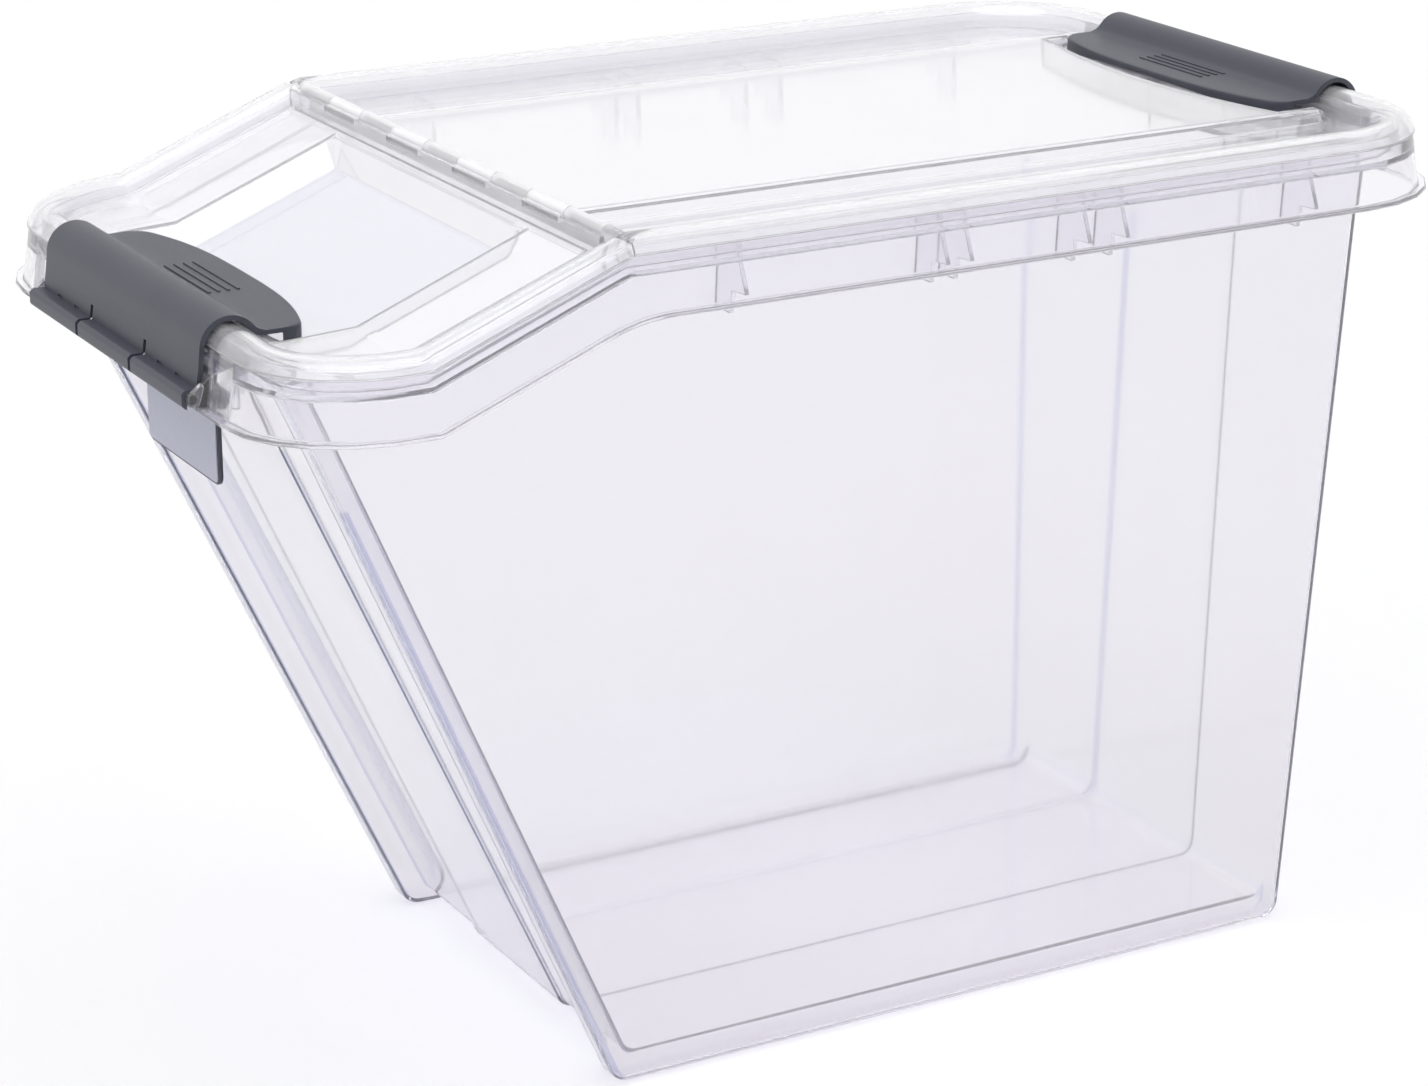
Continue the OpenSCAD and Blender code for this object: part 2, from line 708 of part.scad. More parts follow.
// Plate with two hooks over the label bar.
module label_plate() {
  bar_in = label_gap + label_t - label_back;
  top = label_gap - bar_drop;
  color(clip_grey) at_front() {
    translate([-label_w / 2, -label_back, -label_drop - label_h])
      cube([label_w, label_t, label_h]);
    for (side = [-1, 1]) translate([side * hook_pitch / 2, 0, 0]) across(hook_w) {
      translate([-label_back, -label_drop]) square([label_t, label_drop + top]);
      translate([-label_back, top]) square([2 * label_t + 2 * label_gap + bar_side, label_t]);
      translate([bar_in + bar_side + label_gap, -bar_drop - bar_side])
        square([label_t, bar_side + label_gap]);
    }
  }
}

// Card on the outer face of the plate.
module label_card() {
  color("lightgrey") at_front()
    translate([card_margin - label_w / 2, label_t - label_back, -label_drop - label_h + card_margin])
      cube([label_w - 2 * card_margin, card_t, label_h - 2 * card_margin]);
}

tub();
rear_lid();
front_flap();
front_clip();
rear_clip();
label_plate();
label_card();
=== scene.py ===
from math import cos, pi, radians, sin, sqrt, tan

import bmesh
import bpy
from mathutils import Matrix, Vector


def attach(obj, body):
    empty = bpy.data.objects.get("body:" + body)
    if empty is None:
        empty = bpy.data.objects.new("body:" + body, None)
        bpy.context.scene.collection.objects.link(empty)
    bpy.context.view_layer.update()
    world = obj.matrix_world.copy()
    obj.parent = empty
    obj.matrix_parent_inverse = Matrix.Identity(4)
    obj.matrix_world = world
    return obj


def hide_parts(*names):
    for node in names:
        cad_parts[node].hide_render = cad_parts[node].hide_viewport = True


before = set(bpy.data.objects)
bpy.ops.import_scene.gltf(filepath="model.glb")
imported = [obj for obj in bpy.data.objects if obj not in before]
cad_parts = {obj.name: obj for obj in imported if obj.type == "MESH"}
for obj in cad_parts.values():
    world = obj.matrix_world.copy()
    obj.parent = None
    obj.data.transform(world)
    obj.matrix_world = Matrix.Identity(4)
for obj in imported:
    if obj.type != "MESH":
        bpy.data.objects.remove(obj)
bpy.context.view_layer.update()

# Tub: the open box that carries everything else, with a slanted front, corner columns that run on as floor
# runners, and a skirt that flares out round its rim. Injection moulded in one piece from clear polypropylene,
# with walls a little over 2 mm thick. All sizes in this file are millimetres, and MM turns them to metres.
MM = 0.001
HALF_W, FRONT_Y, REAR_Y, CORNER_R = 150.0, -253.5, 253.5, 45.0  # the crest line of the lid, seen from above
CREST_H, FOLD_Y, BEND_Y = 370.0, -126.0, -206.5
SLOPE, SHELF = tan(radians(21.64)), tan(radians(3))
WALL, EDGE_R, BEND_R = 2.2, 4.0, 9.0
BASE_HALF, MOUTH_HALF = 107.0, 125.5
BASE_FRONT, BASE_REAR, MOUTH_REAR = -96.5, 225.5, 236.0
LEAN = 144.0 / 322.3  # run and height of the slanted front
RUNNER_W, RUNNER_H, COLUMN_D = 13.0, 5.5, 12.0
COLUMN_R, COLUMN_FOOT_R = 2.6, 0.6
PANEL_HALF, PANEL_D, PANEL_R, PANEL_FOOT_R, PANEL_SET = 40.0, 1.5, 1.4, 0.4, 1.0
LEAST_R, STEP_LEAN = 0.4, radians(80)
PLAIN_X, PANEL_X = (76.0, 74.0, 52.0), (24.0, 0.0)
RIM_DROP, RIM_T, RIM_OUT = 13.3, 2.0, 6.2
UNDER = RIM_DROP + RIM_T
ARC_STEPS, WALL_RUNS, STEP_TURNS, LINE_STEPS = 6, 6, 3, 3
SOFT_L, SOFT_DEPTH = 14.0, 10.0
RIM_X = [105, 103, 101, 99, 97, 95, 93, 91, 88, 83.6, 83.4, 60, 44, 43, 42, 41, 40, 39, 38, 37, 20, 0]
RIM_Y = [BEND_Y, -180, -160]
RIM_Y += [FOLD_Y + d for d in (-14, -9, -4, 0, 4, 9, 14)]
RIM_Y += [-90, -40, 20, 80, 140, 190]
NOTCH_HALF = 83.5  # half the gap in the skirt that leaves room for a clip
SKIRT_OUT, SKIRT_TOP, SKIRT_DROP, SKIRT_LIP = 7.7, 7.3, 30.5, 1.8
SKIRT_ROOT, SKIRT_FOOT, SKIRT_HEEL, SKIRT_EDGE = 5.8, 9.0, 11.0, 14.3
UPSTAND_HALF, UPSTAND_TIP, UPSTAND_TOP = 1.5, 1.35, 5.3


def crest_at(y):
    """Height of the lid's crest: level behind the fold, steep down to the bend, nearly level in front of it."""
    return CREST_H + SLOPE * (max(BEND_Y, min(y, FOLD_Y)) - FOLD_Y) + SHELF * min(0.0, y - BEND_Y)


def side_at(z):
    """Half the width between the side walls, which spread towards the mouth."""
    return BASE_HALF + (MOUTH_HALF - BASE_HALF) * z / (CREST_H - RIM_DROP)


def fillet(before, corner, after, r):
    """Points and outward normals of a round bend, where the outside is to the right of the path."""
    d0 = (corner - before).normalized()
    d1 = (after - corner).normalized()
    turn = d0.angle(d1)
    start = corner - d0 * r * tan(turn / 2)
    normal = Vector((d0.y, -d0.x))
    centre = start - normal * r
    bend = []
    for k in range(ARC_STEPS + 1):
        a = turn * k / ARC_STEPS
        n = normal * cos(a) + d0 * sin(a)
        bend.append((centre + n * r, n))
    return bend


def wall_path(front_out, floor_z, rear_out, inset):
    """Stations down the slanted front, along the floor and up the rear, as (y, z) and an outward normal."""
    low = floor_z + inset
    top = CREST_H - RIM_DROP
    deep = crest_at(FRONT_Y) - RIM_DROP

    def front(z):
        return Vector((BASE_FRONT - LEAN * z - front_out + inset, z))

    def rear(z):
        return Vector((BASE_REAR + (MOUTH_REAR - BASE_REAR) * z / top + rear_out - inset, z))

    corners = [front(deep), front(low), rear(low), rear(top)]
    front_bend = fillet(*corners[:3], BEND_R - inset)
    rear_bend = fillet(*corners[1:], BEND_R - inset)
    path = []
    for begin, end, bend in (
        ((corners[0], front_bend[0][1]), front_bend[0], front_bend[1:]),
        (front_bend[-1], rear_bend[0], rear_bend[1:]),
        (rear_bend[-1], (corners[3], rear_bend[-1][1]), []),
    ):
        for k in range(1 if path else 0, WALL_RUNS + 1):
            path.append((begin[0].lerp(end[0], k / WALL_RUNS), end[1]))
        path += bend
    return path


def step_profile(h, outer_r, inner_r):
    """Sideways run and share of the drop of a moulded step: round at its proud edge, drafted, round at its foot."""
    turns = [STEP_LEAN * k / STEP_TURNS for k in range(STEP_TURNS + 1)]
    foot_r = inner_r * (1 - cos(STEP_LEAN))
    run = [(outer_r * sin(a), outer_r * (1 - cos(a))) for a in turns]
    straight = max(0.0, h - run[-1][1] - foot_r)
    x, drop = run[-1][0] + straight / tan(STEP_LEAN), run[-1][1] + straight
    for a in reversed(turns):
        run.append((x + inner_r * (sin(STEP_LEAN) - sin(a)), drop + inner_r * (cos(a) - cos(STEP_LEAN))))
    return [(dx, d / run[-1][1]) for dx, d in run]


def tub_rows(inset, depth):
    """Rows of points across the tub, one for each station of the wall path, from -X to +X."""
    edge_r, column_r = EDGE_R - inset, max(COLUMN_R - inset, LEAST_R)
    column = wall_path(COLUMN_D, 0, 0, inset)
    main = wall_path(0, RUNNER_H, 0, inset)
    panel = wall_path(PANEL_D, RUNNER_H - PANEL_D, PANEL_D, inset)
    rows = []
    for (a, n), (b, _), (c, _) in zip(column, main, panel):
        half = []
        for k in range(ARC_STEPS + 1):
            turn = pi / 2 * k / ARC_STEPS
            p = a + n * edge_r * (sin(turn) - 1)
            half.append((side_at(p.y) - inset - edge_r * (1 - cos(turn)), p))
        gap = b - a
        foot = side_at(a.y) - RUNNER_W + inset + column_r
        run = step_profile(gap.length, column_r, COLUMN_FOOT_R + inset)
        half += [(foot - dx, a + gap * share) for dx, share in run]
        half += [(x, b) for x in PLAIN_X]
        gap = b - c
        run = step_profile(gap.length, max(PANEL_R - inset, LEAST_R), PANEL_FOOT_R + inset / 2)
        half += [(PANEL_HALF - inset + dx - PANEL_SET, c + gap * share) for dx, share in reversed(run)]
        half += [(x, c) for x in PANEL_X]
        left = [Vector((-x, *p)) for x, p in half]
        rows.append(left + [Vector((x, *p)) for x, p in reversed(half[:-1])])
    for row, along in ((rows[0], rows[1]), (rows[-1], rows[-2])):
        for p, q in zip(row, along):
            d = (p - q).normalized()
            rise = SHELF if p.y < BEND_Y else 0.0
            p += d * (crest_at(p.y) - depth - p.z) / (d.z - rise * d.y)
    return rows


def rim_side(inset, depth):
    """Points along the top of one side wall, from front to rear, with the fold among them."""
    heights = [crest_at(y) - depth for y in RIM_Y]
    return [Vector((side_at(z) - inset, y, z)) for y, z in zip(RIM_Y, heights)]


def softened(y, w):
    """How far the lower part of the skirt is rounded off where it bends under the fold."""
    near = max(0.0, SOFT_L - abs(y - FOLD_Y))
    return SLOPE * near ** 2 / (4 * SOFT_L) * min(1.0, max(0.0, (-w - UNDER) / SOFT_DEPTH))


def crest_loop(u, w, notched):
    """Ring of points at an offset and a height from the crest line, matched to the top edge of the walls."""
    arc = [pi / 2 * k / ARC_STEPS for k in range(ARC_STEPS + 1)]
    across = RIM_X[1:] + [-x for x in reversed(RIM_X[1:-1])]
    r = CORNER_R + u
    ring = []
    for end, y_end in ((-1, FRONT_Y), (1, REAR_Y)):
        corner = [(HALF_W - CORNER_R + r * cos(a), y_end - end * CORNER_R + end * r * sin(a)) for a in arc]
        ring += [(end * x, y, w) for x, y in corner]
        for x in across:
            out, up = (SKIRT_OUT, -UNDER) if notched and abs(x) <= NOTCH_HALF else (u, w)
            ring.append((-end * x, y_end + end * out, up))
        ring += [(-end * x, y, w) for x, y in reversed(corner)]
        ring += [(-end * (HALF_W + u), y, w) for y in RIM_Y[::-end]]
    return [Vector((x, y, crest_at(y) + up - softened(y, up))) for x, y, up in ring]


def rounded_line(points):
    """Line through corners given as (outwards, up, radius), with each corner rounded."""
    line = []
    flat = [Vector(p[:2]) for p in points]
    for i, (u, w, r) in enumerate(points):
        if r == 0:
            line.append((u, w))
            continue
        d0 = (flat[i] - flat[i - 1]).normalized()
        d1 = (flat[i + 1] - flat[i]).normalized()
        t = r * tan(d0.angle(d1) / 2)
        start, end = flat[i] - d0 * t, flat[i] + d1 * t
        for k in range(LINE_STEPS + 1):
            s = k / LINE_STEPS
            line.append(tuple(start * (1 - s) ** 2 + flat[i] * 2 * s * (1 - s) + end * s * s))
    return line


def add_strip(bm, rows, closed=False):
    """Faces between neighbouring rows of the same length."""
    made = [[bm.verts.new(p) for p in row] for row in rows]
    for low, high in zip(made, made[1:]):
        for k in range(len(low) - (0 if closed else 1)):
            j = (k + 1) % len(low)
            bm.faces.new((low[k], low[j], high[j], high[k]))
    return made


MERGE = 0.002


def sewn(bm):
    """The same body with its seams merged and its faces turned outwards."""
    bmesh.ops.remove_doubles(bm, verts=bm.verts, dist=MERGE)
    bmesh.ops.dissolve_degenerate(bm, edges=bm.edges, dist=MERGE)
    bmesh.ops.recalc_face_normals(bm, faces=bm.faces)
    return bm


SHARP = radians(40)


def new_piece(name, bm, material):
    """A finished mesh from millimetres, with its normals outwards and its flat faces shaded flat."""
    sewn(bm)
    bmesh.ops.scale(bm, vec=(MM, MM, MM), verts=bm.verts)
    for f in bm.faces:
        f.smooth = True
    mesh = bpy.data.meshes.new(name)
    bm.to_mesh(mesh)
    bm.free()
    mesh.set_sharp_from_angle(angle=SHARP)
    mesh.materials.append(material)
    piece = bpy.data.objects.new(name, mesh)
    bpy.context.scene.collection.objects.link(piece)
    even = piece.modifiers.new("flat faces stay flat", "WEIGHTED_NORMAL")
    even.keep_sharp = True
    return piece


def rgb(text):
    """Linear colour from an sRGB hex value."""
    parts = [int(text[k:k + 2], 16) / 255 for k in (1, 3, 5)]
    return [*(c / 12.92 if c <= 0.04045 else ((c + 0.055) / 1.055) ** 2.4 for c in parts), 1]


def add_node(tree, kind, settings=None, **links):
    """Adds a node, sets its values and sockets, and links other nodes' outputs to its inputs."""
    node = tree.nodes.new(kind)
    for key, value in (settings or {}).items():
        if hasattr(node, key):
            setattr(node, key, value)
        else:
            node.inputs[key].default_value = value
    for key, source in links.items():
        tree.links.new(source, node.inputs[key.replace("_", " ")])
    return node


RIPPLE_L, RIPPLE_H = 45.0, 0.6  # the melt leaves flow ripples about 45 mm apart in a large clear wall
# Painted shade that grows greyer from 170 mm down to 30 mm above the floor.
FOOT_LOW, FOOT_TOP, FOOT_SHADE_SHARE = 30.0, 170.0, 0.12
SHADE_LOW, SHADE_TOP = 8.0, 24.0


def clear_polypropylene(name, tone, clearness):
    """Clear moulded polypropylene: glossy and a little cloudy, so that it whitens what lies behind it, with a faint
    blue-grey where light runs far inside it. It has painted blue-grey shade on the faces that its piece marks and
    painted shade that grows greyer towards the floor, and its floor casts most of the shadow."""
    material = bpy.data.materials.new(name)
    material.use_nodes = True
    tree = material.node_tree
    tree.nodes.clear()
    place = add_node(tree, "ShaderNodeTexCoord")
    ripple = add_node(tree, "ShaderNodeTexNoise", {"Scale": 1 / (RIPPLE_L * MM), "Detail": 2.0},
                      Vector=place.outputs["Object"])
    gloss = add_node(tree, "ShaderNodeMapRange", {"To Min": 0.03, "To Max": 0.08}, Value=ripple.outputs["Fac"])
    bump = add_node(tree, "ShaderNodeBump", {"Strength": 0.08, "Distance": RIPPLE_H * MM},
                    Height=ripple.outputs["Fac"])
    # Painted shade: marked faces get a darker blue-grey in place of the plastic's own faint tone.
    share = add_node(tree, "ShaderNodeAttribute", {"attribute_name": "painted_shade_share"})
    tone_and_painted_shade = add_node(tree, "ShaderNodeValToRGB", Fac=share.outputs["Fac"])
    tone_and_painted_shade.color_ramp.elements[0].color = rgb(tone)
    tone_and_painted_shade.color_ramp.elements[1].color = rgb("#DADCF0")
    spot = add_node(tree, "ShaderNodeSeparateXYZ", Vector=place.outputs["Object"])
    # Painted shade: the plastic is painted greyer towards the floor.
    foot = add_node(
        tree, "ShaderNodeMapRange",
        {"From Min": FOOT_TOP * MM, "From Max": FOOT_LOW * MM, "To Max": FOOT_SHADE_SHARE}, Value=spot.outputs["Z"],
    )
    body = add_node(tree, "ShaderNodeMixRGB", {"Color2": rgb("#DAD8CA")}, Fac=foot.outputs["Result"],
                    Color1=tone_and_painted_shade.outputs["Color"])
    skin = add_node(
        tree, "ShaderNodeBsdfPrincipled", {"IOR": 1.49, "Transmission Weight": clearness},
        Base_Color=body.outputs["Color"], Roughness=gloss.outputs["Result"], Normal=bump.outputs["Normal"],
    )
    path = add_node(tree, "ShaderNodeLightPath")
    low = add_node(tree, "ShaderNodeMapRange", {"From Min": SHADE_LOW * MM, "From Max": SHADE_TOP * MM},
                   Value=spot.outputs["Z"])
    shade = add_node(tree, "ShaderNodeValToRGB", Fac=low.outputs["Result"])
    shade.color_ramp.elements[0].color = rgb("#E0DEE4")
    shade.color_ramp.elements[1].color = rgb("#FAFAFC")
    clear = add_node(tree, "ShaderNodeBsdfTransparent", Color=shade.outputs["Color"])
    mix = add_node(tree, "ShaderNodeMixShader", Fac=path.outputs["Is Shadow Ray"])
    tree.links.new(skin.outputs["BSDF"], mix.inputs[1])
    tree.links.new(clear.outputs["BSDF"], mix.inputs[2])
    inside = add_node(tree, "ShaderNodeVolumeAbsorption", {"Color": rgb("#D4D2EA"), "Density": 7.0})
    add_node(tree, "ShaderNodeOutputMaterial", Surface=mix.outputs["Shader"], Volume=inside.outputs["Volume"])
    return material


clear_pp = clear_polypropylene("clear_moulded_polypropylene", "#FAF9FC", 0.92)

tub_mesh = bmesh.new()
loops = []
for inset, depth in ((0.0, UNDER), (WALL, RIM_DROP)):
    rows = tub_rows(inset, depth)
    add_strip(tub_mesh, rows)
    right = rim_side(inset, depth)
    left = [Vector((-p.x, p.y, p.z)) for p in right]
    for end, side in ((-1, right), (0, left)):
        tub_mesh.faces.new([tub_mesh.verts.new(p) for p in [row[end] for row in rows] + side[::-1]])
    loops.append(rows[0] + right + rows[-1][::-1] + left[::-1])

# Section of the rim from the outer wall round the skirt to the upstand that locates the lid.
skirt_line = rounded_line([
    (3, -UNDER, 0), (SKIRT_ROOT, -UNDER, 0.6), (SKIRT_FOOT, -SKIRT_DROP, 0.4), (SKIRT_EDGE, -SKIRT_DROP, 0.7),
    (SKIRT_EDGE, SKIRT_LIP - SKIRT_DROP, 0.7), (SKIRT_HEEL, SKIRT_LIP - SKIRT_DROP, 0.6),
    (SKIRT_OUT, -SKIRT_TOP, 0.5), (SKIRT_OUT - RIM_T, -SKIRT_TOP, 0.5),
    (SKIRT_OUT - RIM_T, -RIM_DROP, 0.4), (UPSTAND_HALF, -RIM_DROP, 0.4),
    (UPSTAND_TIP, -UPSTAND_TOP, 0.8), (-UPSTAND_TIP, -UPSTAND_TOP, 0.8),
    (-UPSTAND_HALF, -RIM_DROP, 0.3), (-2, -RIM_DROP, 0),
])
SKIRT_POINT = 21  # the first point of that line that a notch leaves in place
skirt = [crest_loop(u, w, 0 < k < SKIRT_POINT) for k, (u, w) in enumerate(skirt_line)]
add_strip(tub_mesh, [loops[0], *skirt, loops[1]], closed=True)

GUSSET_Y, GUSSET_T = [193, 100, 82, 27, 16, -73.2], 2.0
GUSSET_ROOT, GUSSET_LOW, GUSSET_NECK = 26.4, 41.0, 13.0
REAR_ROOT, FRONT_ROOT, RIB_LOW = 17.5, 13.2, 40.0
ROOT_DROP = 14.3  # inside the flange, so that ribs and flange make one body
ROD_OUT, ROD_DOWN, ROD_R = 16.5, 26.0, 2.0
RIB_HALF, RIB_T = 28.0, 2.0
EAR_X, EAR_T = 84.5, 3.0
BAR_SIDE, BAR_DROP, BAR_IN = 3.0, 22.0, 10.7


def prism(outline, low, high, place, edge=0.0):
    """Closed plate from an outline, between two values of a third axis, with its edges rounded."""
    bm = bmesh.new()
    ends = [[bm.verts.new(place(p[0], p[1], t)) for p in outline] for t in (low, high)]
    bm.faces.new(ends[0])
    bm.faces.new(ends[1][::-1])
    for k in range(len(outline)):
        j = (k + 1) % len(outline)
        bm.faces.new((ends[0][k], ends[0][j], ends[1][j], ends[1][k]))
    bmesh.ops.recalc_face_normals(bm, faces=bm.faces)
    if edge:
        sharp = [e for e in bm.edges if e.calc_face_angle() > SHARP]
        bmesh.ops.bevel(bm, geom=sharp, offset=edge, segments=2, profile=0.5, affect="EDGES", clamp_overlap=True)
    return bm


def circle(r, steps=32, centre=(0, 0)):
    turns = [2 * pi * k / steps for k in range(steps)]
    return [(centre[0] + r * cos(a), centre[1] + r * sin(a)) for a in turns]


def at_front(out, up, x):
    """Place at the front crest, from distance outwards, height and x."""
    return Vector((x, FRONT_Y - out, crest_at(FRONT_Y) + up))


def at_rear(out, up, x):
    """Place at the rear crest, from distance outwards, height and x."""
    return Vector((x, REAR_Y + out, CREST_H + up))


def loose_object(bm):
    """An object in the scene that holds a part until it is joined to its piece."""
    mesh = bpy.data.meshes.new("part")
    bm.to_mesh(mesh)
    bm.free()
    part = bpy.data.objects.new("part", mesh)
    bpy.context.scene.collection.objects.link(part)
    return part


def moulded(parts, holes=()):
    """One closed body from overlapping closed parts, less the holes."""
    whole = loose_object(parts[0])
    used = [whole]
    for kind, bodies in (("UNION", parts[1:]), ("DIFFERENCE", holes)):
        for bm in bodies:
            used.append(loose_object(bm))
            join = whole.modifiers.new("join", "BOOLEAN")
            join.operation = kind
            join.solver = "MANIFOLD"
            join.object = used[-1]
    graph = bpy.context.evaluated_depsgraph_get()
    bm = bmesh.new()
    bm.from_mesh(whole.evaluated_get(graph).to_mesh())
    for o in used:
        bpy.data.objects.remove(o)
    return bm


def repeated(unit, places, turn, material):
    """Copies of a closed part at given places, made by a node tree and turned to a plain mesh."""
    tree = bpy.data.node_groups.new("copies_at_places", "GeometryNodeTree")
    sockets = {}
    for label, kind in (("Places", "NodeSocketGeometry"), ("Part", "NodeSocketObject"),
                        ("Turn", "NodeSocketFloat"), ("Material", "NodeSocketMaterial")):
        sockets[label] = tree.interface.new_socket(label, in_out="INPUT", socket_type=kind)
    tree.interface.new_socket("Copies", in_out="OUTPUT", socket_type="NodeSocketGeometry")
    given = add_node(tree, "NodeGroupInput")
    part = add_node(tree, "GeometryNodeObjectInfo", Object=given.outputs["Part"])
    angle = add_node(tree, "ShaderNodeCombineXYZ", Z=given.outputs["Turn"])
    copies = add_node(tree, "GeometryNodeInstanceOnPoints", Points=given.outputs["Places"],
                      Instance=part.outputs["Geometry"], Rotation=angle.outputs["Vector"])
    real = add_node(tree, "GeometryNodeRealizeInstances", Geometry=copies.outputs["Instances"])
    dressed = add_node(tree, "GeometryNodeSetMaterial", Geometry=real.outputs["Geometry"],
                       Material=given.outputs["Material"])
    done = add_node(tree, "NodeGroupOutput")
    tree.links.new(dressed.outputs["Geometry"], done.inputs["Copies"])
    part_object = loose_object(unit)
    mesh = bpy.data.meshes.new("places")
    mesh.from_pydata(places, [], [])
    host = bpy.data.objects.new("places", mesh)
    bpy.context.scene.collection.objects.link(host)
    copier = host.modifiers.new("copies", "NODES")
    copier.node_group = tree
    copier[sockets["Part"].identifier] = part_object
    copier[sockets["Turn"].identifier] = radians(turn)
    copier[sockets["Material"].identifier] = material
    graph = bpy.context.evaluated_depsgraph_get()
    made = bpy.data.meshes.new_from_object(host.evaluated_get(graph))
    bm = bmesh.new()
    bm.from_mesh(made)
    for o in (host, part_object):
        bpy.data.objects.remove(o)
    return bm


def gusset():
    """Rib that stands on the side wall under the flange, drawn as (outwards, up) at the crest of the +X side."""
    outline = [(-GUSSET_ROOT, -ROOT_DROP), (-9.7, -ROOT_DROP), (-2.4, -31), (-GUSSET_NECK, -31.4),
               (-GUSSET_NECK, -GUSSET_LOW), (-GUSSET_ROOT, -GUSSET_LOW)]
    return prism(outline, -GUSSET_T / 2, GUSSET_T / 2, lambda u, w, t: Vector((u, t, w)), 0.3)


details = []
for side in (1, -1):
    spots = [(side * HALF_W, y, CREST_H) for y in GUSSET_Y]
    details.append(repeated(gusset(), spots, 90 - 90 * side, clear_pp))
# Each end has a rod for its clip, two ribs that carry the rod in its middle, and an ear at each end of it.
for place, tilt, root, lean in ((at_rear, 0.0, REAR_ROOT, 0.0), (at_front, SHELF, FRONT_ROOT, LEAN)):
    details.append(prism(circle(ROD_R, 24, (ROD_OUT, -ROD_DOWN)), -EAR_X, EAR_X, place))
    rib = [(-root, tilt * root - ROOT_DROP), (4.2, -ROOT_DROP - tilt * 4.2), (15.5, -24), (17.5, -27),
           (14.5, -28), (-root - lean * (RIB_LOW - ROOT_DROP), -RIB_LOW)]
    ear = [(-2, tilt * 2 - ROOT_DROP), (5.9, -ROOT_DROP - tilt * RIM_OUT), (18.5, -24), (18.5, -28),
           (14.5, -29.5), (10, -SKIRT_DROP), (-2, -SKIRT_DROP)]
    for side in (-1, 1):
        x = side * RIB_HALF
        details.append(prism(rib, x - RIB_T / 2, x + RIB_T / 2, place, 0.3))
        x = side * (EAR_X - EAR_T / 2)
        details.append(prism(ear, x - EAR_T / 2, x + EAR_T / 2, place, 0.5))


def oblong(outs, ups):
    """Outline of a rectangle between two places outwards and two heights."""
    return [(outs[0], ups[0]), (outs[1], ups[0]), (outs[1], ups[1]), (outs[0], ups[1])]


label_bar = oblong((-BAR_IN, -BAR_IN + BAR_SIDE), (-BAR_DROP, -BAR_DROP - BAR_SIDE))
details.append(prism(label_bar, -RIB_HALF, RIB_HALF, at_front))
tub = new_piece("tub_shell", moulded([sewn(tub_mesh)] + details), clear_pp)


def paint_shade_on_faces(piece, share_of):
    """Gives each face its share of painted shade, a darker blue-grey which the clear plastic's material reads."""
    shares = piece.data.attributes.new("painted_shade_share", "FLOAT", "FACE")
    for face, share in zip(piece.data.polygons, shares.data):
        share.value = share_of(face)


PAINTED_SHADE_TOP = 295.0  # no painted shade above this height, where the skirt hides the walls


def tub_painted_shade(face):
    """Full painted shade in the round upright corners, where one looks along the wall, and a little painted shade on
    the slanted front.
    """
    across, along = abs(face.normal.x), abs(face.normal.y)
    if face.center.z >= PAINTED_SHADE_TOP * MM:
        return 0.0
    if min(across, along) > 0.2:
        return 1.0
    return 0.2 if 0.7 < along < 0.97 else 0.0


# Painted shade in the tub's round upright corners and on its slanted front.
paint_shade_on_faces(tub, tub_painted_shade)
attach(tub, "tub")
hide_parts("tub")

# Rear lid: the flat half of the lid, with a hollow rounded bead round its edge, a channel, a raised plateau for the
# next bin, a finger pocket under the rear clip, and half of the fold's knuckles with the rod through them.
# Clear polypropylene, moulded in one piece and 2 mm thick; it lies on the rim of the tub.
BEAD_R, BEAD_STEPS, BEAD_START = 8.5, 16, 40 / 3
LID_T, CHANNEL, LID_DROP, LIP_DROP = 2.0, 11.0, 13.0, 7.0
FOLD_DROP, KNUCKLE_R, FOLD_ROD_R, FOLD_WALL = 2.5, 3.0, 1.5, 4.0
FOLD_Z = CREST_H - FOLD_DROP
FOLD_L, KNUCKLES, KNUCKLE_GAP = 276.0, 9, 0.5
FOLD_CUT, FOLD_SLANT = 0.4, tan(radians(57))
PLATEAU_HALF, PLATEAU_H, PLATEAU_END = 93.5, 5.0, 364.5
PLATEAU_DRAFT, END_DRAFT, END_LAG = 2.4, 2.0, 1.2
POCKET_HALF, POCKET_DROP, POCKET_END, POCKET_FRONT, POCKET_R = 86.0, 20.0, 355.5, 333.5, 329.0
ROUND = ((-0.9, 0.0), (-0.35, 0.07), (0.35, 0.93), (0.9, 1.0))
OUTER_X = 97.0
REAR_L = REAR_Y - FOLD_Y


def bead_lines():
    """Matched outer and inner lines of the bead's section, from its lip to its inner leg."""
    outer, inner = [(7.4, -LIP_DROP), (8.0, -LIP_DROP)], [(7.3, -LIP_DROP), (6.6, -LIP_DROP)]
    for line, r, begin in ((outer, BEAD_R, radians(13)), (inner, BEAD_R - LID_T, radians(16))):
        turns = [begin + (pi - begin) * k / BEAD_STEPS for k in range(BEAD_STEPS + 1)]
        line += [(r * cos(a), r * sin(a) - BEAD_R) for a in turns]
    outer += [(-8.5, -12.6), (-8.1, -LID_DROP), (-7.6, -LID_DROP)]
    inner += [(-6.5, -12.6), (-6.9, -LID_DROP), (-7.4, -LID_DROP)]
    return outer, inner


def add_shell(top, bottom):
    """Closed body between two matched grids of points."""
    bm = bmesh.new()
    sheets = [add_strip(bm, rows) for rows in (top, bottom)]
    for edge in (lambda rows: rows[0], lambda rows: rows[-1],
                 lambda rows: [r[0] for r in rows], lambda rows: [r[-1] for r in rows]):
        a, b = edge(sheets[0]), edge(sheets[1])
        for k in range(len(a) - 1):
            bm.faces.new((a[k], a[k + 1], b[k + 1], b[k]))
    return sewn(bm)


